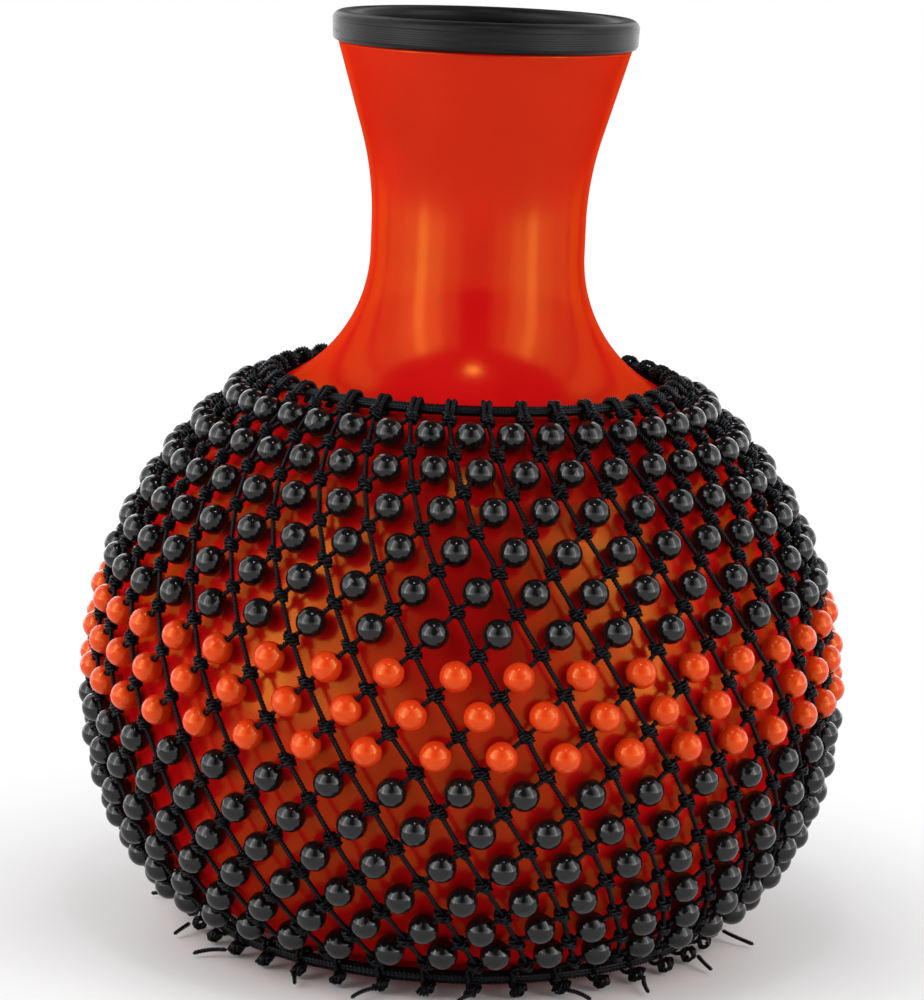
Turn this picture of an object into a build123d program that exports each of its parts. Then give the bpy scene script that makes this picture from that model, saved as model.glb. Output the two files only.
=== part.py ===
"""Shekere: a hollow moulded gourd with a flared neck, dressed in a knotted net of beads.

Millimetres, +Z up. The origin is the centre of the flat base. The net is tied between a neck cord
and a foot cord, hangs clear of the shell and turns freely round the gourd's axis.
"""
from build123d import *
from math import acos, asin, atan2, cos, degrees, pi, radians, sin, sqrt, tan
import os

# Gourd shell
belly_radius = 145.0  # outside of the round belly
belly_height = 102.0  # belly centre above the base
base_radius = 74.1  # flat that the gourd stands on
foot_start = radians(12)  # angle below the belly's widest ring where the tighter foot curve begins
shoulder_radius = 60.0  # hollow curve from the belly into the neck
waist_radius = 43.2  # narrowest outside radius of the neck
waist_length = 12.0  # straight stretch at the waist
flare_radius = 128.0  # hollow curve from the waist into the mouth cone
flare_angle = radians(16.5)  # slope of the mouth cone from upright
mouth_height = 362.5  # base to the rebate that the rim ring is pushed down to
wall = 3.0  # moulded wall
lip_length = 8.5  # thinned edge inside the rim ring
lip_rebate = 1.3  # how far the lip steps in from the outside of the mouth cone

# Rim ring
rim_height = 12.0  # outside height of the rubber edging
rim_overhang = 2.2  # how far its outer leg stands out past the mouth cone
rim_swell = 0.4  # how far that leg leans out over its height
rim_inner_leg = 2.4  # thickness of the leg inside the mouth
rim_inner_drop = 1.5  # how far that leg reaches below the outer one
rim_round = 3.8  # rounding of the top edges
rim_tuck = 2.0  # rounding of the lower outside edge
rim_fit = 0.15  # slip fit between the rubber and the lip

# Beads and cords
bead_diameter = 12.0
bead_bore = 2.6
orange_count = 3  # rows of orange beads, half way down the net
cord_diameter = 2.0  # twisted net cord
tight_diameter = 1.8  # the same cord where it is drawn tight round a ring cord
neck_cord_diameter = 4.4  # braided ring that the net hangs from
foot_cord_diameter = 5.5  # braided ring that draws the net in
knot_wraps = 3
knot_diameter = 5.8
wrap_pitch = 1.9  # along the knot
bead_play = 3.8  # bare cord beside each bead
column_room = 0.4  # spare width beside a bead in the narrowest row
net_start = 4.0  # degrees round the gourd, from the front to the first hitch

# Clearances
bead_lift = 0.9  # from the shell to the beads, before the cords' chords cut the corner
wrap_lift = 0.4  # from the shell to the hitches round the two ring cords
wrap_gap = 0.2  # from a hitch to the ring cord inside it
seat_gap = 0.3  # from a bead, a cord end or a hitch leg to the knot that it meets

# Ends of the net
neck_cord_drop = 7.4  # below the foot of the shoulder curve, along the belly
hitch_drop = 7.4  # neck cord to the first knots, along the belly
hitch_spread = 2.4  # between the two turns of a hitch
foot_room = 14.0  # least length of the foot ties from the last knots to the foot cord
foot_cord_height = 7.6  # middle of the foot cord above the base
end_knot_slope = radians(35)  # end knots sit this far below the level of the foot cord
tail_every = 2  # one foot tie in this many keeps a loose tail
tail_lengths = (13.0, 17.0, -11.0, 14.0, -9.0)  # repeated round the foot, negative ones lie the other way
tail_bend = 26.0  # radius that the tails curl to
tail_heading = radians(38)  # tails leave the foot this far outwards from along it

# Worked out from the driving sizes
bead_radius = bead_diameter / 2
cord_radius = cord_diameter / 2
tight_radius = tight_diameter / 2
knot_radius = knot_diameter / 2
knot_length = knot_wraps * wrap_pitch
net_height = bead_radius + bead_lift  # knots and cords above the shell
plain_cord = bead_diameter + knot_length  # knot to knot, down the bare cords
bead_cord = bead_diameter + knot_diameter + bead_play  # knot to knot, down the beaded cords
neck_cord_lift = wrap_lift + cord_diameter + wrap_gap + neck_cord_diameter / 2
foot_cord_lift = wrap_lift + cord_diameter + wrap_gap + foot_cord_diameter / 2

# The foot curve leaves the belly at foot_start and meets the base at its radius
foot_off = (belly_radius**2 - base_radius**2 - belly_height**2) / 2
foot_off /= belly_radius - base_radius * cos(foot_start) - belly_height * sin(foot_start)
foot_radius = belly_radius - foot_off
foot_r = foot_off * cos(foot_start)
foot_z = belly_height - foot_off * sin(foot_start)
foot_slope = -asin((foot_z - foot_cord_height) / (foot_radius + foot_cord_lift))
shoulder_r = waist_radius + shoulder_radius
shoulder_rise = sqrt((belly_radius + shoulder_radius) ** 2 - shoulder_r**2)
shoulder_z = belly_height + shoulder_rise
shoulder_angle = atan2(shoulder_rise, shoulder_r)  # where the belly meets the shoulder curve
waist_top = shoulder_z + waist_length
flare_r = waist_radius + flare_radius


def meridian(slope, lift):
    """Radius and height of the point `lift` outside the belly or foot, where its normal rises by `slope`."""
    if slope > -foot_start:
        reach = belly_radius + lift
        return reach * cos(slope), belly_height + reach * sin(slope)
    reach = foot_radius + lift
    return foot_r + reach * cos(slope), foot_z + reach * sin(slope)


def place(angle, slope, lift):
    """A point over the gourd: angle round the axis from the front, and where it lies on the meridian."""
    r, z = meridian(slope, lift)
    return Vector(r * sin(angle), -r * cos(angle), z)


def further_down(slope, length):
    """The slope reached by going down the net by a length."""
    on_belly = max(0.0, min(length, (slope + foot_start) * (belly_radius + net_height)))
    on_foot = length - on_belly
    return slope - on_belly / (belly_radius + net_height) - on_foot / (foot_radius + net_height)


def length_between(upper, lower):
    """Length down the net from one slope to a lower one."""
    on_belly = max(upper, -foot_start) - max(lower, -foot_start)
    on_foot = min(upper, -foot_start) - min(lower, -foot_start)
    return on_belly * (belly_radius + net_height) + on_foot * (foot_radius + net_height)


def arc(r, z, radius, start, end):
    """An arc of the profile, from one angle to another."""
    return CenterArc((r, z), radius, degrees(start), degrees(end - start))


def profile(inset):
    """Half section of the gourd moved in by `inset`, up to the rebate, as a list of edges."""
    floor = inset
    foot_end = -asin((foot_z - floor) / (foot_radius - inset))
    edges = [arc(foot_r, foot_z, foot_radius - inset, foot_end, -foot_start)]
    edges += [arc(0, belly_height, belly_radius - inset, -foot_start, shoulder_angle)]
    edges += [arc(shoulder_r, shoulder_z, shoulder_radius + inset, shoulder_angle + pi, pi)]
    edges += [Line((waist_radius - inset, shoulder_z), (waist_radius - inset, waist_top))]
    edges += [arc(flare_r, waist_top, flare_radius + inset, pi, pi - flare_angle)]
    rim = Vector(mouth_radius(inset), mouth_height)
    edges += [Line(edges[-1] @ 1, rim)]
    return [Line((0, floor), edges[0] @ 0), *edges]


def mouth_radius(inset):
    """Radius of the mouth cone, moved in by `inset`, at the rebate."""
    r = flare_r - (flare_radius + inset) * cos(flare_angle)
    z = waist_top + (flare_radius + inset) * sin(flare_angle)
    return r + (mouth_height - z) * tan(flare_angle)


lip_outer = mouth_radius(0) - lip_rebate
lip_inner = mouth_radius(wall)
lip_top = mouth_height + lip_length


def turned(edges):
    """The solid turned from a closed half section, whose plane's Y is the axis."""
    return revolve(Plane.XZ * make_face(edges), Axis.Z)


def gourd_shell():
    """Hollow belly, neck and mouth, with a thinned lip for the rim ring."""
    outer = profile(0)
    steps = [outer[-1] @ 1, (lip_outer, mouth_height), (lip_outer, lip_top), (0, lip_top), (0, 0)]
    inner = profile(wall)
    hollow = [inner[-1] @ 1, (lip_inner, lip_top), (0, lip_top), (0, wall)]
    return turned([*outer, Polyline(*steps)]) - turned([*inner, Polyline(*hollow)])


def rim_ring():
    """Rubber edging with a slot for the lip, an outer leg on the rebate and a longer inner leg."""
    foot = mouth_height + rim_fit
    low_r = mouth_radius(0) + rim_overhang
    wide_r = low_r + rim_swell
    step_r = lip_inner - rim_inner_drop * tan(flare_angle) - rim_fit
    inner_r = step_r - rim_inner_leg
    top = mouth_height + rim_height
    low = mouth_height - rim_inner_drop
    section = make_face(Polyline((inner_r, low), (step_r, low), (step_r, foot), (low_r, foot), (wide_r, top),
                                 (inner_r, top), close=True))
    section = fillet(section.vertices().filter_by_position(Axis.Y, top, top), rim_round)
    section = fillet(section.vertices().sort_by_distance((low_r, foot))[0], rim_tuck)
    slot = Polyline((step_r, low), (lip_outer + rim_fit, low), (lip_outer + rim_fit, lip_top + rim_fit),
                    (step_r, lip_top + rim_fit), close=True)
    return revolve(Plane.XZ * (section - make_face(slot)), Axis.Z)


def rod(start, end, radius):
    """A round cord span between two points."""
    run = end - start
    from_start = (Align.CENTER, Align.CENTER, Align.MIN)
    return Plane(start, z_dir=run) * Cylinder(radius, run.length, align=from_start)


def span(start, end, cut_start, cut_end, radius=cord_radius):
    """A net cord between two points, cut short at either end."""
    along = (end - start).normalized()
    return rod(start + along * cut_start, end - along * cut_end, radius)


def knot(centre, along):
    """A wound knot: turns of cord side by side round the strand."""
    waist = knot_radius - cord_radius / 2
    low = -knot_length / 2
    turns = []
    for turn in range(knot_wraps):
        z = low + turn * wrap_pitch
        turns += [ThreePointArc((waist, z), (knot_radius, z + wrap_pitch / 2), (waist, z + wrap_pitch))]
    ends = Polyline((waist, -low), (0, -low), (0, low), (waist, low))
    outwards = Vector(centre.X, centre.Y, 0)
    return Plane(centre, x_dir=outwards, z_dir=along) * turned([*turns, ends])


def ring(major, minor, centre, axis):
    """A cord bent into a closed turn."""
    return Plane(centre, z_dir=axis) * Torus(major, minor)


def round_the_axis(piece, count):
    """Equal copies of one piece, evenly spaced round the gourd."""
    return Compound([Rot(0, 0, net_start + 360 * column / count) * piece for column in range(count)])


def net_levels():
    """Slope and twist of each row of knots, from the two cord lengths that every mesh shares, down to the foot."""
    neck_slope = shoulder_angle - neck_cord_drop / (belly_radius + neck_cord_lift)
    slope = further_down(neck_slope, hitch_drop)
    first_r, _ = meridian(slope, net_height)
    count = int(2 * pi * first_r / (bead_diameter + cord_diameter + column_room))
    twist = 0.0
    levels = []
    while length_between(slope, foot_slope) > foot_room:
        levels += [(slope, twist)]
        top_r, _ = meridian(slope, net_height)
        row_r = top_r
        for _ in range(3):
            pitch = 2 * pi * row_r / count
            aside = (pitch**2 + plain_cord**2 - bead_cord**2) / (2 * pitch)
            next_slope = further_down(slope, sqrt(plain_cord**2 - aside**2))
            row_r = (top_r + meridian(next_slope, net_height)[0]) / 2
        slope = next_slope
        twist += aside / row_r
    return neck_slope, count, levels


neck_slope, columns, levels = net_levels()
column_angle = 2 * pi / columns
bead_rows = len(levels) - 1
first_orange = (bead_rows - orange_count) // 2 + 1


def knot_spot(row, column):
    """Middle of a knot. Row 0 is the first row under the neck cord."""
    slope, twist = levels[row]
    return place(twist + column * column_angle, slope, net_height)


def knot_axis(row):
    """Direction of the bare cord through a knot of column 0."""
    above = knot_spot(max(row - 1, 0), 0)
    below = knot_spot(min(row + 1, bead_rows), 0)
    return (below - above).normalized()


def lean_on(line, row):
    """Cosine and sine of the angle between a line and the axis of a knot of column 0."""
    lean = abs(line.normalized().dot(knot_axis(row)))
    return lean, sqrt(max(0.0, 1 - lean**2))


def stop_short(line, row):
    """How far from a knot's middle a cord that comes in along a line ends, to stay clear of the knot."""
    lean, across = lean_on(line, row)
    past_side = (knot_radius + cord_radius * lean) / max(across, 0.01)
    past_end = (knot_length / 2 + cord_radius * across) / max(lean, 0.01)
    return min(past_side, past_end) + seat_gap


def net_row(row):
    """A knot, the bare cord down to the next row and the cord that carries the next row's bead."""
    middle = knot_spot(row, 0)
    piece = knot(middle, knot_axis(row))
    if row == bead_rows:
        return piece
    below = knot_spot(row + 1, 0)
    aside = knot_spot(row + 1, -1)
    seen_from_knot = (aside - middle).rotate(Axis.Z, 360 / columns)
    bare_strand = span(middle, below, 0, stop_short(below - middle, row + 1))
    bead_strand = span(middle, aside, 0, stop_short(seen_from_knot, row + 1))
    return piece + [bare_strand, bead_strand]


def bead(row):
    """A bored bead on the slanting cord down to a knot, as low as the knot and the bare cord allow."""
    seat = knot_spot(row, 0)
    up = (knot_spot(row - 1, 1) - seat).normalized()
    beside = (knot_spot(row - 1, 0) - seat).normalized()
    opening = acos(up.dot(beside))
    lean, across = lean_on(up, row)
    by_knot = bead_radius + knot_length / 2 * lean + knot_radius * across + seat_gap
    by_cord = (bead_radius + cord_radius + wrap_gap) / sin(opening)
    body = Sphere(bead_radius) - Cylinder(bead_bore / 2, 2 * bead_diameter)
    return Plane(seat + up * max(by_knot, by_cord), z_dir=up) * body


def hitch():
    """A strand doubled over the neck cord: two turns joined behind it and two legs down to the first knot."""
    neck = place(0, neck_slope, neck_cord_lift)
    below = knot_spot(0, 0)
    sideways = Vector(hitch_spread / 2, 0, 0)
    down = (below - neck).normalized()
    out = down.cross(sideways).normalized()
    turn_radius = neck_cord_diameter / 2 + wrap_gap + cord_radius
    touch = acos(turn_radius / (below - neck).length)
    leg_top = neck + (down * cos(touch) + out * sin(touch)) * turn_radius
    leg = below - leg_top
    leg_end = stop_short(leg, 0) + hitch_spread / 2 * lean_on(leg, 0)[1]
    behind = neck - out * turn_radius
    section = Circle(cord_radius)
    pieces = []
    for side in (sideways, -sideways):
        over = Axis(neck + side, Vector(-1, 0, 0))
        pieces += [span(leg_top + side, below + side, 0, leg_end)]
        pieces += [revolve(Plane(leg_top + side, z_dir=-leg) * section, over, 270 - degrees(touch))]
    return revolve(Plane(behind - sideways, z_dir=down) * section, Axis(behind, out), 180) + pieces


foot_cord_r, _ = meridian(foot_slope, foot_cord_lift)
tie_radius = foot_cord_diameter / 2 + wrap_gap + cord_radius
end_knot_reach = tie_radius + knot_radius - cord_radius / 2


def foot_spot(angle, out, up):
    """A point beside the foot cord, moved outwards and upwards from its middle."""
    r = foot_cord_r + out
    return Vector(r * sin(angle), -r * cos(angle), foot_cord_height + up)


def end_knot_spot(angle):
    """Middle of the knot that ends a foot tie."""
    return foot_spot(angle, end_knot_reach * cos(end_knot_slope), -end_knot_reach * sin(end_knot_slope))


def foot_tie():
    """A strand from the last knot, over the foot cord, round it and into an end knot."""
    twist = levels[bead_rows][1]
    last = knot_spot(bead_rows, 0)
    over = foot_spot(twist, tie_radius * cos(foot_slope), -tie_radius * sin(foot_slope))
    along = Vector(cos(twist), sin(twist), 0)
    piece = ring(tie_radius, cord_radius, foot_spot(twist, 0, 0), along)
    piece += span(last, over, stop_short(over - last, bead_rows), 0, tight_radius)
    piece += knot(end_knot_spot(twist), along)
    return piece


def tail(column, length):
    """A loose cord end that curls away from the end knot of one foot tie."""
    way = -1 if length < 0 else 1
    twist = levels[bead_rows][1] + column * column_angle
    heading = twist + way * tail_heading
    ahead = Vector(-way * cos(heading), -way * sin(heading), 0)
    out = Vector(sin(twist), -cos(twist), 0)
    start = end_knot_spot(twist) + out * (knot_radius + seat_gap + cord_radius)
    curl = Vector(sin(heading), -cos(heading), 0)
    section = Plane(start, z_dir=ahead) * Circle(cord_radius)
    return revolve(section, Axis(start + curl * tail_bend, (0, 0, way)), degrees(abs(length) / tail_bend))


def tails():
    """Loose ends of some of the foot ties."""
    picked = range(1, columns, tail_every)
    loose = [tail(column, tail_lengths[n % len(tail_lengths)]) for n, column in enumerate(picked)]
    return Compound([Rot(0, 0, net_start) * piece for piece in loose])


def build():
    """Every node of the shekere by name."""
    neck_r, neck_z = meridian(neck_slope, neck_cord_lift)
    nodes = {"gourd_shell": gourd_shell(), "rim_ring": rim_ring()}
    nodes["neck_cord"] = ring(neck_r, neck_cord_diameter / 2, (0, 0, neck_z), (0, 0, 1))
    nodes["neck_hitches"] = round_the_axis(hitch(), columns)
    for row in range(bead_rows + 1):
        nodes[f"knots_row_{row:02d}"] = round_the_axis(net_row(row), columns)
    for row in range(1, bead_rows + 1):
        colour = "orange" if 0 <= row - first_orange < orange_count else "black"
        nodes[f"{colour}_beads_row_{row:02d}"] = round_the_axis(bead(row), columns)
    nodes["foot_cord"] = ring(foot_cord_r, foot_cord_diameter / 2, (0, 0, foot_cord_height), (0, 0, 1))
    nodes["foot_ties"] = round_the_axis(foot_tie(), columns)
    nodes["foot_tails"] = tails()
    return nodes


os.makedirs("parts", exist_ok=True)
for name, shape in build().items():
    export_step(shape, f"parts/{name}.step")
print("columns", columns, "height", round(mouth_height + rim_height, 1))
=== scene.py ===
"""Looks of the shekere: a lacquered shell, a rubber rim and a net of beads on plied cords.

The net is tied with wound knots and hangs between two braided loops.
"""
from math import acos, asin, atan2, ceil, cos, pi, radians, sin, sqrt, tan

import bpy
import numpy as np
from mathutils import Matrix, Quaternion, Vector


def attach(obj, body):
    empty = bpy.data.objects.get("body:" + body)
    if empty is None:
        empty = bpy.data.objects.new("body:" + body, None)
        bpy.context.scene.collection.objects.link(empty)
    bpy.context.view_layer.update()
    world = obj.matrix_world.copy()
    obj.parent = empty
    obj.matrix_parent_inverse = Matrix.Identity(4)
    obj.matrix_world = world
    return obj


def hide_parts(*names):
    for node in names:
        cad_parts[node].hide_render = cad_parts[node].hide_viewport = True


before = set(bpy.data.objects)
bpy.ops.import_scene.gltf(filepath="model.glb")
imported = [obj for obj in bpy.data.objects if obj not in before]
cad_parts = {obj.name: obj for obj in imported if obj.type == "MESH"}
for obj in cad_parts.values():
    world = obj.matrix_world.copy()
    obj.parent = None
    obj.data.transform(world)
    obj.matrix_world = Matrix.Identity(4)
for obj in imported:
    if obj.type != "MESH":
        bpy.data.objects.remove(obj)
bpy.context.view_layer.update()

# Sizes of the part in millimetres, as its solids have them
belly_radius = 145.0
belly_height = 102.0
base_radius = 74.1
foot_start = radians(12)
shoulder_radius = 60.0
waist_radius = 43.2
waist_length = 12.0
flare_radius = 128.0
flare_angle = radians(16.5)
mouth_height = 362.5
wall = 3.0
lip_length = 8.5
lip_rebate = 1.3
rim_height = 12.0
rim_overhang = 2.2
rim_swell = 0.4
rim_inner_leg = 2.4
rim_inner_drop = 1.5
rim_round = 3.8
rim_tuck = 2.0
rim_fit = 0.15
bead_diameter = 12.0
bead_bore = 2.6
bead_rows = 15
orange_rows = range(7, 10)
cord_diameter = 2.0
neck_cord_diameter = 4.4
foot_cord_diameter = 5.5
knot_wraps = 3
knot_diameter = 5.8
wrap_pitch = 1.9
bead_play = 3.8
columns = 38
net_start = radians(4.0)
bead_lift = 0.9
wrap_lift = 0.4
wrap_gap = 0.2
seat_gap = 0.3
neck_cord_drop = 7.4
hitch_drop = 7.4
hitch_spread = 2.4
foot_cord_height = 7.6
end_knot_slope = radians(35)
tail_every = 2
tail_lengths = (13.0, 17.0, -11.0, 14.0, -9.0)
tail_bend = 26.0
tail_heading = radians(38)

# Detail of the looks, in millimetres where nothing else is said
ply_pitch = 3.8  # one turn of a plied cord
net_plies = 3
ply_groove = 0.45  # least reach of a cord between its plies, in radii of the cord
blunt_sizes = (0.08, 0.82)  # the last two rings at a cord's end, in radii of the cord
end_step = 0.02  # between those two rings
steep_path = 0.8  # rise of a path past which its sides are measured from a level direction
braid_columns = 8
braid_grain = 0.6  # from grain to grain along a braid, in radii of the braid
braid_slant = 1.3  # grains that a column leans by across its width
braid_depth = 0.2  # depth of the grains, in radii of the braid
braid_square = 4  # power by which a grain falls off towards its sides
rib_pitch = 0.9  # fine ribs round the rubber rim
rib_depth = 0.09
rib_fade = 3  # power by which the ribs fade towards the top
rim_break = 0.05  # angle by which the rim's roundings stop short of its outer face
seam_height = 0.035  # mould seam of a bead
seam_angle = 0.03  # half of its width, seen from the bore
bead_chamfer = 0.35
skin_depth = 0.05  # points this near to the ball's surface carry the seam
bead_sizes = (0.985, 1.01)  # smallest and largest bead, in sizes of the even one
bead_wander = 1.3  # how far a bead may ride up its strand
bead_ride = (1.2, 3)  # shape of the chance that it does so
hand_wander = 0.35  # how far a knot strays from its even place
knot_ply_pitch = 6.5  # one turn of the cord in a knot
knot_plies = 2
knot_strand = 0.8  # radius of the cord where it is drawn tight in a knot
knot_turns = 4.2  # wraps that show on a knot
knot_tilt = 0.9  # how far the wraps of a knot lean across it
knot_tilts = (0.6, 1.3)  # least and most lean, in shares of the even one
knot_sizes = (0.97, 1.1)
knot_angles = (-0.9, 0.9)  # range of the angle at which the winding starts
knot_end_size = 0.86  # reach of the wraps at the ends of a knot
knot_bulge = 0.2  # what its middle has more
knot_tuck = 0.06  # share of the winding that tucks in at each end
tuck_reach = 0.35  # reach of the tucked ends
cord_swell = 1.12  # plied cord stands this much out from its smooth size
hitch_splay = 0.55  # share by which the two turns of a hitch draw together at the knot
hitch_bury = 1.0  # length of a hitch's leg inside its knot
tie_shift = 2.2  # a foot tie's two turns lie side by side
tie_start = 0.15  # share of the way to the foot cord where a tie leaves its last knot
tail_droop = 2.0

# Points that the shapes are drawn with, and steps between them in millimetres
shell_segments = 224
lining_segments = 160
rim_segments = 200
base_shares = (0.0005, 0.4, 0.8, 0.99)  # rings of the base, in shares of its radius
foot_steps = 30
belly_steps = 44
shoulder_steps = 26
flare_steps = 18
mouth_shares = (0.25, 0.5, 0.75, 0.97, 1)  # rings of the straight neck, in shares of its height
tuck_steps = 9
round_steps = 12
rib_points = 5
net_sides = 12
knot_sides = 8
knot_points = 72
bead_steps = 15
bead_sectors = 11
grain_points = 4
column_points = 5
leg_points = 9
tie_points = 14
least_points = 3
ring_step = 0.36  # between the rings of points along a cord
bight_step = 0.5
tail_step = 0.6
settling_rounds = 3  # rounds in which a row of the net finds its height
chart_margin = 0.04  # free edge of each piece's place on the chart
metre = 1000  # millimetres
seed = 11  # of all that is left to chance

# Colours of the materials, each as its darker and its lighter tone
paint_tones = ((0.4, 0.002, 0.0035, 1), (0.47, 0.004, 0.005, 1))
flake_tones = ((0.68, 0.32, 0.035, 1), (0.80, 0.41, 0.05, 1))
laminate_tones = ((0.025, 0.021, 0.018, 1), (0.085, 0.072, 0.06, 1))
rubber_tones = ((0.003, 0.003, 0.0033, 1), (0.009, 0.009, 0.0095, 1))
black_tones = ((0.0025, 0.0025, 0.0025, 1), (0.005, 0.005, 0.0055, 1))
orange_tones = ((0.53, 0.029, 0.0035, 1), (0.61, 0.04, 0.005, 1))
cord_tones = ((0.0015, 0.0015, 0.0018, 1), (0.004, 0.0042, 0.005, 1))
flake_share = 0.056  # share of the flake in the look of the lacquer
white = (1, 1, 1, 1)

# The studio, in metres and watts
floor_radius = 14
floor_corners = 96
floor_blend = (0.12, 0.3)  # distances from the axis between which the floor turns white
world_blend = (0.22, 0.12)  # rises of a view between which the surroundings turn white
world_strength = 0.03
panels = ((26, 0.4, 2.5), (44, 0.4, 7.4), (60, 0.28, 12.5), (77, 0.4, 5.9), (98, 0.5, 4.7),
          (125, 0.5, 6.2), (155, 0.5, 7.0))  # degrees from the front, width, power
panel_sides = ((-1, 1.0), (1, 0.88))  # each side of the axis and its level of light
panel_distance = 1.3
panel_middle = 1.02
panel_height = 2.0
overhead_place = (0, -0.5, 1.7)
overhead_aim = (0, 0, 0.2)
overhead_size = 0.12
overhead_power = 1.8
camera_place = (0, -1.4654, 0.4574)
camera_aim = (-0.00255, 0, 0.177)
camera_roll = radians(2.147)
camera_sensor = 36  # millimetres, as the next one
camera_lens = 142.1

bead_radius = bead_diameter / 2
cord_radius = cord_diameter / 2
knot_radius = knot_diameter / 2
knot_length = knot_wraps * wrap_pitch
net_height = bead_radius + bead_lift
plain_cord = bead_diameter + knot_length
bead_cord = bead_diameter + knot_diameter + bead_play
neck_cord_lift = wrap_lift + cord_diameter + wrap_gap + neck_cord_diameter / 2
foot_cord_lift = wrap_lift + cord_diameter + wrap_gap + foot_cord_diameter / 2
foot_off = (belly_radius**2 - base_radius**2 - belly_height**2) / 2
foot_off /= belly_radius - base_radius * cos(foot_start) - belly_height * sin(foot_start)
foot_radius = belly_radius - foot_off
foot_r = foot_off * cos(foot_start)
foot_z = belly_height - foot_off * sin(foot_start)
shoulder_r = waist_radius + shoulder_radius
shoulder_rise = sqrt((belly_radius + shoulder_radius) ** 2 - shoulder_r**2)
shoulder_z = belly_height + shoulder_rise
shoulder_angle = atan2(shoulder_rise, shoulder_r)
waist_top = shoulder_z + waist_length
flare_r = waist_radius + flare_radius
column_angle = 2 * pi / columns
chance = np.random.default_rng(seed)


def meridian(slope, lift):
    """Radius and height of the point `lift` outside the belly or foot, where its normal rises by `slope`."""
    if slope > -foot_start:
        reach = belly_radius + lift
        return reach * cos(slope), belly_height + reach * sin(slope)
    reach = foot_radius + lift
    return foot_r + reach * cos(slope), foot_z + reach * sin(slope)


def further_down(slope, length):
    """The slope reached by going down the net by a length."""
    on_belly = max(0.0, min(length, (slope + foot_start) * (belly_radius + net_height)))
    on_foot = length - on_belly
    return slope - on_belly / (belly_radius + net_height) - on_foot / (foot_radius + net_height)


def net_levels():
    """Slope and twist of each row of knots."""
    slope = further_down(neck_slope, hitch_drop)
    found = [(slope, net_start)]
    for _ in range(bead_rows):
        slope, twist = found[-1]
        top_r, _ = meridian(slope, net_height)
        row_r = top_r
        for _ in range(settling_rounds):
            pitch = 2 * pi * row_r / columns
            aside = (pitch**2 + plain_cord**2 - bead_cord**2) / (2 * pitch)
            next_slope = further_down(slope, sqrt(plain_cord**2 - aside**2))
            row_r = (top_r + meridian(next_slope, net_height)[0]) / 2
        found += [(next_slope, twist + aside / row_r)]
    return found


def unit(vectors):
    """Vectors brought to length 1."""
    return vectors / np.linalg.norm(vectors, axis=-1, keepdims=True)


def dot(a, b):
    """Products of two arrays of vectors, kept as a last axis of one."""
    return np.sum(a * b, axis=-1, keepdims=True)


def spin(points, angles):
    """Copies of points turned round the gourd's axis, one for each angle."""
    c = np.cos(angles)[:, None]
    s = np.sin(angles)[:, None]
    flat = points.reshape(1, -1, 3)
    turned = [flat[..., 0] * c - flat[..., 1] * s, flat[..., 0] * s + flat[..., 1] * c]
    turned += [np.broadcast_to(flat[..., 2], turned[0].shape)]
    return np.stack(turned, -1).reshape(len(angles), *points.shape)


def ply(sides, plies):
    """Section of a plied cord: radius of each point round it, for an outside radius of 1."""
    angles = 2 * pi * np.arange(sides) / sides
    inside = 1 / (1 + sin(pi / plies))
    off = (angles + pi / plies) % (2 * pi / plies) - pi / plies
    ply_radius = 1 - inside
    left = np.maximum(ply_radius**2 - (inside * np.sin(off)) ** 2, 0)
    return np.maximum(inside * np.cos(off) + np.sqrt(left), ply_groove)


def sweep(paths, radius, section, pitch, normals=None):
    """Rings along a batch of paths (count, points, 3), turning once in each `pitch`, with blunt ends."""
    count, steps, _ = paths.shape
    along = unit(np.gradient(paths, axis=1))
    if normals is None:
        steep = np.abs(along[:, :1, 2:]) > steep_path
        guess = np.where(steep, [[[1.0, 0, 0]]], [[[0, 0, 1.0]]])
        rows = [unit(guess - dot(guess, along[:, :1]) * along[:, :1])]
        for i in range(1, steps):
            moved = rows[-1] - dot(rows[-1], along[:, i:i + 1]) * along[:, i:i + 1]
            rows += [unit(moved)]
        normals = np.concatenate(rows, 1)
    normals = unit(normals - dot(normals, along) * along)
    sideways = np.cross(along, normals)
    hops = np.linalg.norm(np.diff(paths, axis=1), axis=-1)
    run = np.concatenate([np.zeros((count, 1)), np.cumsum(hops, 1)], 1)
    turn = chance.uniform(0, 2 * pi, (count, 1)) + 2 * pi * run / pitch
    sides = len(section)
    angle = turn[..., None] + 2 * pi * np.arange(sides) / sides
    size = np.full(steps, float(radius))
    for place, share in enumerate(blunt_sizes):
        size[[place, -1 - place]] *= share
    reach = size[None, :, None] * section
    ring = np.cos(angle)[..., None] * normals[:, :, None] + np.sin(angle)[..., None] * sideways[:, :, None]
    return paths[:, :, None] + reach[..., None] * ring


def straight(starts, ends):
    """Points along a batch of straight strands, with both ends doubled so that they close bluntly."""
    length = np.linalg.norm(ends - starts, axis=-1).mean()
    share = np.linspace(0, 1, max(least_points, ceil(length / ring_step)))
    share = np.concatenate([[0], [end_step / length], share[1:-1], [1 - end_step / length], [1]])
    return starts[:, None] + share[None, :, None] * (ends - starts)[:, None]


def lathe(profile, segments):
    """Rings of points turned from a profile of radii and heights, as one grid."""
    profile = np.array(profile, float)
    angles = np.linspace(0, 2 * pi, segments, endpoint=False)
    r = profile[:, :1]
    z = np.broadcast_to(profile[:, 1:], (len(profile), segments))
    return np.stack([r * np.sin(angles), -r * np.cos(angles), z], -1)[None]


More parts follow.
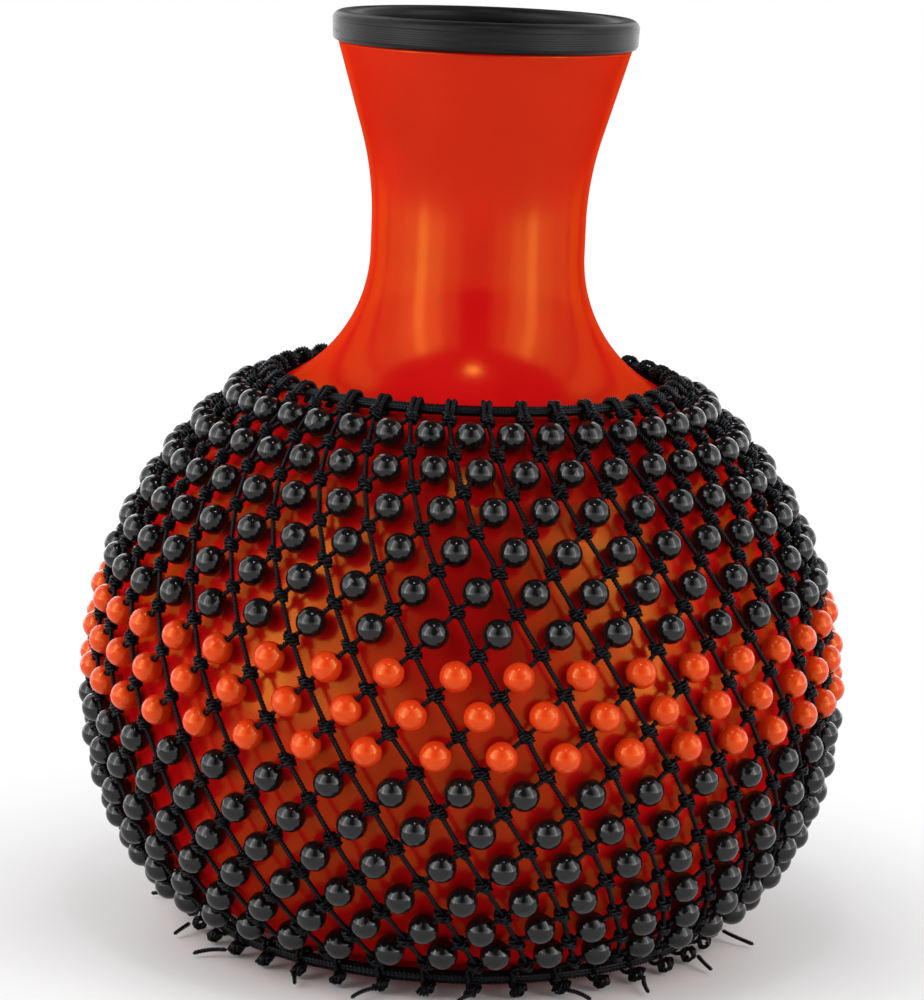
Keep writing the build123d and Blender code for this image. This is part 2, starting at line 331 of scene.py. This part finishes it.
def make(name, batches, materials, body, node):
    """One object from batches of ring grids (count, rings, points, 3).

    Each batch also has a material number and says whether its last ring joins its first.
    """
    verts, faces, maps, kinds = [], [], [], []
    across = ceil(sqrt(sum(len(grid) for grid, _, _ in batches)))
    used = 0
    cells = 0
    for grid, kind, closed in batches:
        count, rings, points, _ = grid.shape
        rows = rings if closed else rings - 1
        i = np.arange(rows)[:, None]
        j = np.arange(points)[None]
        beside = (j + 1) % points
        near = i * points
        far = (i + 1) % rings * points
        quad = np.stack([near + j, near + beside, far + beside, far + j], -1)
        first = used + np.arange(count)[:, None, None] * rings * points
        faces += [(quad.reshape(1, -1, 4) + first).reshape(-1, 4)]
        corner = np.array([[0, 0], [0, 1], [1, 1], [1, 0]])
        place = np.stack(np.broadcast_arrays(i, j), -1).reshape(-1, 1, 2) + corner
        place = (chart_margin + (1 - 2 * chart_margin) * place / [rows, points])[None]
        cell = cells + np.arange(count)
        origin = np.stack([cell % across, cell // across], -1)[:, None, None]
        maps += [((place + origin) / across).reshape(-1, 2)]
        kinds += [np.full(count * rows * points, kind)]
        verts += [grid.reshape(-1, 3) / metre]
        used += count * rings * points
        cells += count
    verts = np.concatenate(verts)
    faces = np.concatenate(faces)
    mesh = bpy.data.meshes.new(name)
    mesh.vertices.add(len(verts))
    mesh.vertices.foreach_set("co", verts.ravel())
    mesh.loops.add(faces.size)
    mesh.loops.foreach_set("vertex_index", faces.ravel())
    mesh.polygons.add(len(faces))
    mesh.polygons.foreach_set("loop_start", np.arange(len(faces)) * faces.shape[1])
    for material in materials:
        mesh.materials.append(material)
    mesh.polygons.foreach_set("material_index", np.concatenate(kinds))
    mesh.polygons.foreach_set("use_smooth", np.ones(len(faces), bool))
    chart = mesh.uv_layers.new(name="OFBake")
    mesh.update(calc_edges=True)
    chart.data.foreach_set("uv", np.concatenate(maps).ravel())
    piece = bpy.data.objects.new(name, mesh)
    bpy.context.collection.objects.link(piece)
    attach(piece, body)
    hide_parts(node)


def helpers_of(tree):
    """Helpers to join and to add the nodes of a tree."""
    def add(kind, **values):
        node = tree.nodes.new(kind)
        for key, value in values.items():
            if key in node.inputs:
                node.inputs[key].default_value = value
            else:
                setattr(node, key, value)
        return node

    return tree.links.new, add


def nodes_of(name):
    """A new material, its shader and helpers to join and to add nodes."""
    material = bpy.data.materials.new(name)
    material.use_nodes = True
    link, add = helpers_of(material.node_tree)
    return material, link, material.node_tree.nodes["Principled BSDF"], add


def settle(shader, **values):
    """Constants on the shader's own sockets; underscores stand for spaces."""
    for key, value in values.items():
        shader.inputs[key.replace("_", " ")].default_value = value


def grain(add, link, scale, detail, stretch=None):
    """Noise in the object's own coordinates, stretched along an axis where asked."""
    where = add("ShaderNodeTexCoord").outputs["Object"]
    if stretch:
        mapping = add("ShaderNodeMapping", Scale=stretch)
        link(where, mapping.inputs["Vector"])
        where = mapping.outputs["Vector"]
    noise = add("ShaderNodeTexNoise", Scale=scale, Detail=detail)
    link(where, noise.inputs["Vector"])
    return noise.outputs["Fac"]


def tones(add, link, factor, socket, pair, start=0.3, end=0.7):
    """The darker to the lighter tone of a pair, as a factor goes from start to end, into a socket."""
    ramp = add("ShaderNodeValToRGB")
    for stop, position, colour in zip(ramp.color_ramp.elements, (start, end), pair):
        stop.position = position
        stop.color = colour
    link(factor, ramp.inputs["Fac"])
    link(ramp.outputs["Color"], socket)


def bumps(add, link, height, shader, strength, depth):
    """Fine relief of a surface, `depth` in metres."""
    bump = add("ShaderNodeBump", Strength=strength, Distance=depth)
    link(height, bump.inputs["Height"])
    link(bump.outputs["Normal"], shader.inputs["Normal"])


def spread(add, link, factor, socket, low, high):
    """A number that varies over the surface, into a socket."""
    span = add("ShaderNodeMapRange")
    span.inputs["To Min"].default_value = low
    span.inputs["To Max"].default_value = high
    link(factor, span.inputs["Value"])
    link(span.outputs["Result"], socket)


def lacquer():
    """Red metallic lacquer: deep red paint with gold flake in it, rubbed to a satin."""
    material, link, paint, add = nodes_of("red_lacquer")
    settle(paint, Specular_IOR_Level=0.0, Roughness=0.6)
    cloud = grain(add, link, scale=26, detail=4)
    tones(add, link, cloud, paint.inputs["Base Color"], paint_tones)
    flake = add("ShaderNodeBsdfPrincipled")
    settle(flake, Metallic=1.0, Specular_Tint=(1.0, 0.4, 0.06, 1))
    speckle = grain(add, link, scale=1500, detail=2)
    tones(add, link, speckle, flake.inputs["Base Color"], flake_tones)
    spread(add, link, speckle, flake.inputs["Roughness"], low=0.16, high=0.24)
    bumps(add, link, grain(add, link, scale=420, detail=2), flake, strength=0.05, depth=0.0004)
    mix = add("ShaderNodeMixShader", Fac=flake_share)
    link(paint.outputs["BSDF"], mix.inputs[1])
    link(flake.outputs["BSDF"], mix.inputs[2])
    link(mix.outputs["Shader"], material.node_tree.nodes["Material Output"].inputs["Surface"])
    return material


def raw_laminate():
    """Unpainted inside of the shell: dark resin over coarse glass mat."""
    material, link, shader, add = nodes_of("raw_laminate")
    mat = grain(add, link, scale=160, detail=6, stretch=(1, 1, 0.4))
    tones(add, link, mat, shader.inputs["Base Color"], laminate_tones, end=0.75)
    spread(add, link, mat, shader.inputs["Roughness"], low=0.35, high=0.6)
    bumps(add, link, mat, shader, strength=0.4, depth=0.0008)
    return material


def rubber():
    """Black rubber with a dull sheen and drawn-out scuffs."""
    material, link, shader, add = nodes_of("rim_rubber")
    scuff = grain(add, link, scale=55, detail=5, stretch=(1, 1, 14))
    tones(add, link, scuff, shader.inputs["Base Color"], rubber_tones, start=0.35, end=0.75)
    settle(shader, Specular_IOR_Level=0.15)
    spread(add, link, scuff, shader.inputs["Roughness"], low=0.3, high=0.5)
    bumps(add, link, grain(add, link, scale=900, detail=3), shader, strength=0.25, depth=0.0002)
    return material


def bead_plastic(name, pair, low, high, **gloss):
    """Moulded bead: polished plastic with faint clouds and fine scratches, rough from low to high."""
    material, link, shader, add = nodes_of(name)
    cloud = grain(add, link, scale=120, detail=3)
    tones(add, link, cloud, shader.inputs["Base Color"], pair)
    scratch = grain(add, link, scale=380, detail=4, stretch=(1, 6, 1))
    spread(add, link, scratch, shader.inputs["Roughness"], low, high)
    bumps(add, link, scratch, shader, strength=0.06, depth=0.0002)
    settle(shader, **gloss)
    return material


def cord_fibre():
    """Black polyester cord with a cool sheen on its plies."""
    material, link, shader, add = nodes_of("net_cord")
    settle(shader, Specular_IOR_Level=0.12, Specular_Tint=(0.85, 0.9, 1.0, 1))
    fibre = grain(add, link, scale=900, detail=4)
    tones(add, link, fibre, shader.inputs["Base Color"], cord_tones, end=0.75)
    spread(add, link, fibre, shader.inputs["Roughness"], low=0.2, high=0.34)
    bumps(add, link, fibre, shader, strength=0.5, depth=0.0002)
    return material


red = lacquer()
laminate = raw_laminate()
rim_rubber = rubber()
black_plastic = bead_plastic("black_bead", black_tones, low=0.1, high=0.19, Specular_IOR_Level=0.38)
orange_plastic = bead_plastic(
    "orange_bead", orange_tones, low=0.14, high=0.24,
    Specular_IOR_Level=0.55, Specular_Tint=(1.0, 0.72, 0.22, 1),
    Subsurface_Weight=0.1, Subsurface_Radius=(1.0, 0.25, 0.08), Subsurface_Scale=0.003)
cord = cord_fibre()


def arc(r, z, radius, start, end, steps):
    """Points of a profile's arc."""
    angles = np.linspace(start, end, steps)
    return [(r + radius * cos(a), z + radius * sin(a)) for a in angles]


def shell_profile(inset):
    """Half section of the gourd moved in by `inset`, from the base up to the mouth."""
    foot_end = -asin((foot_z - inset) / (foot_radius - inset))
    flat_r = foot_r + (foot_radius - inset) * cos(foot_end)
    points = [(share * flat_r, inset) for share in base_shares]
    points += arc(foot_r, foot_z, foot_radius - inset, foot_end, -foot_start, foot_steps)
    points += arc(0, belly_height, belly_radius - inset, -foot_start, shoulder_angle, belly_steps)[1:]
    shoulder_end = shoulder_angle + pi
    points += arc(shoulder_r, shoulder_z, shoulder_radius + inset, shoulder_end, pi, shoulder_steps)[1:]
    points += arc(flare_r, waist_top, flare_radius + inset, pi, pi - flare_angle, flare_steps)
    r, z = points[-1]
    points += [(r + (mouth_height - z) * tan(flare_angle) * share, z + (mouth_height - z) * share)
               for share in mouth_shares]
    return points


def gourd():
    """Shell of one turned skin: lacquer outside, raw laminate inside."""
    outside = shell_profile(0)
    inside = shell_profile(wall)
    lip_top = mouth_height + lip_length
    lip_r = outside[-1][0] - lip_rebate
    outside += [(lip_r, mouth_height), (lip_r, lip_top)]
    inside = [(inside[-1][0], lip_top)] + inside[::-1]
    skin = lathe(outside, shell_segments)
    lining = lathe(outside[-1:] + inside, lining_segments)
    make("gourd_skin", [(skin, 0, False), (lining, 1, False)], [red, laminate],
         "gourd", "gourd_shell")


def rim():
    """Rubber edging with fine ribs round its outer face."""
    mouth_outer = shell_profile(0)[-1][0]
    mouth_inner = shell_profile(wall)[-1][0]
    low_r = mouth_outer + rim_overhang
    wide_r = low_r + rim_swell
    step_r = mouth_inner - rim_inner_drop * tan(flare_angle) - rim_fit
    inner_r = step_r - rim_inner_leg
    low = mouth_height + rim_fit
    top = mouth_height + rim_height
    lip_top = mouth_height + lip_length + rim_fit
    slot_r = mouth_outer - lip_rebate + rim_fit
    lean = rim_swell / (rim_height - rim_fit)
    points = [(slot_r, low)]
    points += arc(low_r - rim_tuck, low + rim_tuck, rim_tuck, -pi / 2, -rim_break, tuck_steps)
    rise = np.arange(rim_tuck, rim_height - rim_round, rib_pitch / rib_points)
    for z in rise:
        rib = 0.5 - 0.5 * cos(2 * pi * (z - rim_tuck) / rib_pitch)
        fade = max(0.0, 1 - (z / (rim_height - rim_round)) ** rib_fade)
        points += [(low_r + lean * z - rib_depth * rib * fade, low + z)]
    points += arc(wide_r - rim_round, top - rim_round, rim_round, rim_break, pi / 2, round_steps)
    points += arc(inner_r + rim_round, top - rim_round, rim_round, pi / 2, pi, round_steps)
    drop = mouth_height - rim_inner_drop
    points += [(inner_r, drop), (step_r, drop), (step_r, lip_top), (slot_r, lip_top)]
    edging = lathe(points, rim_segments)
    make("rim_edging", [(edging, 0, True)], [rim_rubber], "gourd", "rim_ring")


neck_slope = shoulder_angle - neck_cord_drop / (belly_radius + neck_cord_lift)
levels = net_levels()


def net_spots():
    """Middles of all knots (row, column, 3), as uneven as tied by hand, and the outward directions there."""
    spots = np.zeros((bead_rows + 1, columns, 3))
    outward = np.zeros_like(spots)
    for row, (slope, twist) in enumerate(levels):
        stray = np.zeros((2, columns))
        if 0 < row < bead_rows:
            stray = chance.normal(0, hand_wander / belly_radius, (2, columns))
        for column in range(columns):
            lean = slope + stray[0, column]
            r, z = meridian(lean, net_height)
            angle = twist + column * column_angle + stray[1, column]
            spots[row, column] = (r * sin(angle), -r * cos(angle), z)
            outward[row, column] = (sin(angle) * cos(lean), -cos(angle) * cos(lean), sin(lean))
    return spots, outward


spots, outward = net_spots()
net_section = ply(net_sides, net_plies)
knot_section = ply(knot_sides, knot_plies)


def knot_axes(row):
    """Directions of the bare cord through the knots of a row."""
    return unit(spots[min(row + 1, bead_rows)] - spots[max(row - 1, 0)])


def wound(centres, axes, out):
    """Knots of one cord wound tightly round the strand, all turns leaning one way and the ends tucked in."""
    side = unit(np.cross(axes, out))
    front = np.cross(side, axes)
    share = np.linspace(0, 1, knot_points)
    tuck = np.clip(np.minimum(share, 1 - share) / knot_tuck, 0, 1)
    bulge = (knot_radius - knot_strand) * (knot_end_size + knot_bulge * np.sin(pi * share))
    count = len(centres)
    angle = chance.uniform(*knot_angles, (count, 1)) + 2 * pi * knot_turns * share
    size = chance.uniform(*knot_sizes, (count, 1))
    tilt = knot_tilt * chance.uniform(*knot_tilts, (count, 1))
    reach = (bulge * (tuck_reach + (1 - tuck_reach) * tuck) * size)[..., None]
    rise = ((share - 0.5) * (knot_length - knot_strand) * size - tilt * np.sin(angle))[..., None]
    radial = np.cos(angle)[..., None] * front[:, None] + np.sin(angle)[..., None] * side[:, None]
    paths = centres[:, None] + reach * radial + rise * axes[:, None]
    return sweep(paths, knot_strand, knot_section, knot_ply_pitch, normals=radial)


def net_row(row):
    """A row of knots, the bare cords down to the next row and the cords that carry its beads."""
    batches = [(wound(spots[row], knot_axes(row), outward[row]), 0, False)]
    if row < bead_rows:
        below = spots[row + 1]
        for ends in (below, np.roll(below, 1, axis=0)):
            strands = sweep(straight(spots[row], ends), cord_radius * cord_swell, net_section, ply_pitch)
            batches += [(strands, 0, False)]
    make(f"net_cords_{row:02d}", batches, [cord], "net", f"knots_row_{row:02d}")


def bead_form():
    """A bored bead on +Z (rings, points, 3): ball, chamfered bore and two mould seams along the bore."""
    bore = bead_bore / 2
    edge = asin((bore + bead_chamfer) / bead_radius)
    profile = [(bore, -bead_radius * cos(edge) + bead_chamfer)]
    profile += arc(0, 0, bead_radius, edge - pi / 2, pi / 2 - edge, bead_steps)
    profile += [(bore, bead_radius * cos(edge) - bead_chamfer), (bore, 0)]
    profile = np.array(profile)
    sectors = np.linspace(0, pi, bead_sectors, endpoint=False)[1:]
    half = np.concatenate([[-seam_angle, 0, seam_angle], sectors])
    around = np.concatenate([half, half + pi])
    ridge = np.where(np.arange(len(half)) == 1, seam_height, 0)
    ridge = np.concatenate([ridge, ridge])
    on_ball = (np.hypot(*profile.T) > bead_radius - skin_depth)[:, None]
    r = profile[:, :1] + ridge * on_ball
    z = np.broadcast_to(profile[:, 1:], r.shape)
    return np.stack([r * np.cos(around), r * np.sin(around), z], -1)


bead_shape = bead_form()


def bead_row(row):
    """The beads of one row, each on its slanting cord a little above its knot."""
    seats = spots[row]
    tops = np.roll(spots[row - 1], -1, axis=0)
    up = unit(tops - seats)
    beside = unit(spots[row - 1] - seats)
    lean = np.abs(dot(up, knot_axes(row)))[..., 0]
    by_knot = bead_radius + knot_length / 2 * lean + knot_radius * np.sqrt(1 - lean**2) + seat_gap
    by_cord = (bead_radius + cord_radius + wrap_gap) / np.sin(np.arccos(dot(up, beside)[..., 0]))
    rest = np.maximum(by_knot, by_cord) + bead_wander * chance.beta(*bead_ride, columns)
    middles = seats + up * rest[:, None]
    side = unit(np.cross(up, outward[row]))
    front = np.cross(side, up)
    angle = chance.uniform(0, pi, (columns, 1))
    across = np.cos(angle) * front + np.sin(angle) * side
    other = np.cross(up, across)
    size = chance.uniform(*bead_sizes, columns)
    axes = np.stack([across, other, up], 1) * size[:, None, None]
    grid = np.einsum("rpk,mkd->mrpd", bead_shape, axes) + middles[:, None, None]
    colour, plastic = ("orange", orange_plastic) if row in orange_rows else ("black", black_plastic)
    make(f"{colour}_beads_{row:02d}", [(grid, 0, True)], [plastic], "net",
         f"{colour}_beads_row_{row:02d}")


def braid(name, major, height, radius, node):
    """A ring of braided cord: a sleeve whose columns of grains lean to and fro."""
    grains = round(2 * pi * major / (braid_grain * radius))
    along = np.arange(grain_points * grains) / (grain_points * grains)
    around = np.arange(column_points * braid_columns) / (column_points * braid_columns)
    column, across = np.divmod(around * braid_columns, 1)
    lean = np.where(column % 2 == 0, braid_slant, -braid_slant)
    wave = 0.5 + 0.5 * np.cos(2 * pi * (along[:, None] * grains + lean * across))
    swell = wave * (1 - (2 * across - 1) ** braid_square)
    reach = radius * (1 - braid_depth * (1 - swell))
    out = np.stack([np.sin(2 * pi * along), -np.cos(2 * pi * along), 0 * along], -1)[:, None]
    up = np.array([0, 0, 1.0])
    ring = np.cos(2 * pi * around)[:, None] * out - np.sin(2 * pi * around)[:, None] * up
    sleeve = major * out + height * up + reach[..., None] * ring
    make(name, [(sleeve[None], 0, True)], [cord], "net", node)


def turn_points(centre, a, b, radius, start, end, step=ring_step):
    """Points of an arc in the plane of the directions a and b."""
    angles = np.linspace(start, end, max(least_points, ceil(abs(end - start) * radius / step)))
    return centre + radius * (np.cos(angles)[:, None] * a + np.sin(angles)[:, None] * b)


def hitches():
    """Strands doubled over the neck cord, with two legs down to each first knot."""
    slope, _ = levels[0]
    neck_r, neck_z = meridian(neck_slope, neck_cord_lift)
    knot_r, knot_z = meridian(slope, net_height)
    neck = np.array([0, -neck_r, neck_z])
    below = np.array([0, -knot_r, knot_z])
    down = unit(below - neck)
    sideways = np.array([hitch_spread / 2, 0, 0])
    out = unit(np.cross(down, sideways))
    radius = neck_cord_diameter / 2 + wrap_gap + cord_radius
    touch = acos(radius / np.linalg.norm(below - neck))
    left = turn_points(neck - sideways, down, out, radius, touch, 1.5 * pi)
    leg_end = below - sideways - unit(below - left[0]) * (knot_length / 2 - hitch_bury)
    leg = leg_end + np.linspace(0, 1, leg_points)[:-1, None] * (left[0] - leg_end)
    behind = neck - out * radius
    bight = turn_points(behind, -unit(sideways), down, hitch_spread / 2, 0, pi, bight_step)[1:-1]
    half = np.concatenate([leg, left])
    top = neck[2] + radius
    sunk = np.clip((top - half[:, 2]) / (top - below[2]), 0, 1)
    half[:, 0] *= 1 - hitch_splay * sunk
    path = np.concatenate([half, bight, half[::-1] * [-1, 1, 1]])
    angles = net_start + column_angle * np.arange(columns)
    loops = sweep(spin(path, angles), cord_radius * cord_swell, net_section, ply_pitch)
    make("neck_hitch_loops", [(loops, 0, False)], [cord], "net", "neck_hitches")


foot_slope = -asin((foot_z - foot_cord_height) / (foot_radius + foot_cord_lift))
foot_cord_r, _ = meridian(foot_slope, foot_cord_lift)
tie_radius = foot_cord_diameter / 2 + wrap_gap + cord_radius
end_reach = tie_radius + knot_radius - cord_radius / 2
last_twist = levels[bead_rows][1]


def foot_ties():
    """Strands from the last knots, over the foot cord, once round it and into an end knot."""
    middle = np.array([0, -foot_cord_r, foot_cord_height])
    out = np.array([0, -1.0, 0])
    up = np.array([0, 0, 1.0])
    last_r, last_z = meridian(levels[bead_rows][0], net_height)
    last = np.array([0, -last_r, last_z])
    coil = turn_points(middle, out, up, tie_radius, -foot_slope, -foot_slope - 2 * pi - end_knot_slope)
    coil[:, 0] += np.linspace(0, tie_shift, len(coil)) - tie_shift
    leg = last + np.linspace(tie_start, 1, tie_points)[:-1, None] * (coil[0] - last)
    angles = last_twist + column_angle * np.arange(columns)
    ties = sweep(spin(np.concatenate([leg, coil]), angles), cord_radius, net_section, ply_pitch)
    end = middle + end_reach * (cos(end_knot_slope) * out - sin(end_knot_slope) * up)
    knots = wound(spin(end, angles), spin(np.array([1.0, 0, 0]), angles), spin(out, angles))
    make("foot_tie_strands", [(ties, 0, False), (knots, 0, False)], [cord], "net", "foot_ties")


def tails():
    """Loose ends that curl away from some of the end knots and droop a little."""
    batches = []
    for number, column in enumerate(range(1, columns, tail_every)):
        length = tail_lengths[number % len(tail_lengths)]
        way = -1 if length < 0 else 1
        twist = last_twist + column * column_angle
        heading = twist + way * tail_heading
        r = foot_cord_r + end_reach * cos(end_knot_slope) + knot_radius + seat_gap + cord_radius
        z = foot_cord_height - end_reach * sin(end_knot_slope)
        start = np.array([r * sin(twist), -r * cos(twist), z])
        curl = np.array([sin(heading), -cos(heading), 0])
        ahead = np.array([-way * cos(heading), -way * sin(heading), 0])
        bend = abs(length) / tail_bend
        path = turn_points(start + curl * tail_bend, -curl, ahead, tail_bend, 0, bend, tail_step)
        path[:, 2] -= tail_droop * np.linspace(0, 1, len(path)) ** 2
        batches += [(sweep(path[None], cord_radius, net_section, ply_pitch), 0, False)]
    make("foot_tail_ends", batches, [cord], "net", "foot_tails")


gourd()
rim()
neck_ring_r, neck_ring_z = meridian(neck_slope, neck_cord_lift)
braid("neck_braid", neck_ring_r, neck_ring_z, neck_cord_diameter / 2, "neck_cord")
braid("foot_braid", foot_cord_r, foot_cord_height, foot_cord_diameter / 2, "foot_cord")
hitches()
for row in range(bead_rows + 1):
    net_row(row)
for row in range(1, bead_rows + 1):
    bead_row(row)
foot_ties()
tails()


def seen_share(add, link, place, start, end):
    """Share of white that camera, glossy and transmission rays see, growing from start to end of `place`."""
    path = add("ShaderNodeLightPath")
    seen = path.outputs["Is Camera Ray"]
    for kind in ("Is Glossy Ray", "Is Transmission Ray"):
        either = add("ShaderNodeMath", operation="MAXIMUM")
        link(seen, either.inputs[0])
        link(path.outputs[kind], either.inputs[1])
        seen = either.outputs[0]
    grows = add("ShaderNodeMapRange", interpolation_type="SMOOTHSTEP")
    for name, value in (("From Min", start), ("From Max", end)):
        grows.inputs[name].default_value = value
    link(place, grows.inputs["Value"])
    share = add("ShaderNodeMath", operation="MULTIPLY")
    link(seen, share.inputs[0])
    link(grows.outputs["Result"], share.inputs[1])
    return share.outputs[0]


def floor():
    """Pale floor that turns white away from the part."""
    bpy.ops.mesh.primitive_circle_add(vertices=floor_corners, radius=floor_radius, fill_type="NGON")
    disc = bpy.context.object
    disc.name = "floor"
    material, link, shader, add = nodes_of("pale_floor")
    settle(shader, Base_Color=(0.8, 0.8, 0.8, 1), Roughness=0.7)
    away = add("ShaderNodeVectorMath", operation="LENGTH")
    link(add("ShaderNodeTexCoord").outputs["Object"], away.inputs[0])
    glow = add("ShaderNodeEmission", Color=white, Strength=1.0)
    mix = add("ShaderNodeMixShader")
    link(seen_share(add, link, away.outputs["Value"], *floor_blend), mix.inputs["Fac"])
    link(shader.outputs["BSDF"], mix.inputs[1])
    link(glow.outputs["Emission"], mix.inputs[2])
    link(mix.outputs["Shader"], material.node_tree.nodes["Material Output"].inputs["Surface"])
    disc.data.materials.append(material)


def surroundings():
    """Dim light from all sides, and a white band along the horizon."""
    world = bpy.data.worlds.new("studio")
    bpy.context.scene.world = world
    world.use_nodes = True
    link, add = helpers_of(world.node_tree)
    dim = world.node_tree.nodes["Background"]
    settle(dim, Color=white, Strength=world_strength)
    height = add("ShaderNodeSeparateXYZ")
    link(add("ShaderNodeTexCoord").outputs["Generated"], height.inputs[0])
    band = add("ShaderNodeBackground", Color=white, Strength=1.0)
    mix = add("ShaderNodeMixShader")
    link(seen_share(add, link, height.outputs["Z"], *world_blend), mix.inputs["Fac"])
    link(dim.outputs["Background"], mix.inputs[1])
    link(band.outputs["Background"], mix.inputs[2])
    link(mix.outputs["Shader"], world.node_tree.nodes["World Output"].inputs["Surface"])


def soft_box(name, place, aim, width, height, watts):
    """A flat lamp that faces its aim."""
    light = bpy.data.lights.new(name, "AREA")
    light.shape = "RECTANGLE"
    light.size = width
    light.size_y = height
    light.energy = watts
    lamp = bpy.data.objects.new(name, light)
    bpy.context.collection.objects.link(lamp)
    lamp.location = place
    lamp.rotation_euler = (Vector(aim) - Vector(place)).to_track_quat("-Z", "Y").to_euler()


def lamps():
    """Tall soft boxes round both sides and a small lamp overhead."""
    for side, level in panel_sides:
        for azimuth, width, watts in panels:
            turn = radians(azimuth)
            place = (side * panel_distance * sin(turn), -panel_distance * cos(turn), panel_middle)
            soft_box("panel", place, (0, 0, panel_middle), width, panel_height, level * watts)
    soft_box("overhead", overhead_place, overhead_aim, overhead_size, overhead_size, overhead_power)


def picture():
    """Camera of the picture."""
    lens = bpy.data.cameras.new("picture")
    lens.sensor_fit = "HORIZONTAL"
    lens.sensor_width = camera_sensor
    lens.lens = camera_lens
    camera = bpy.data.objects.new("picture", lens)
    bpy.context.collection.objects.link(camera)
    camera.location = camera_place
    aim = Vector(camera_aim) - camera.location
    camera.rotation_mode = "QUATERNION"
    camera.rotation_quaternion = aim.to_track_quat("-Z", "Y") @ Quaternion((0, 0, 1), camera_roll)
    bpy.context.scene.camera = camera
    bpy.context.scene.view_settings.view_transform = "Standard"


floor()
surroundings()
lamps()
picture()
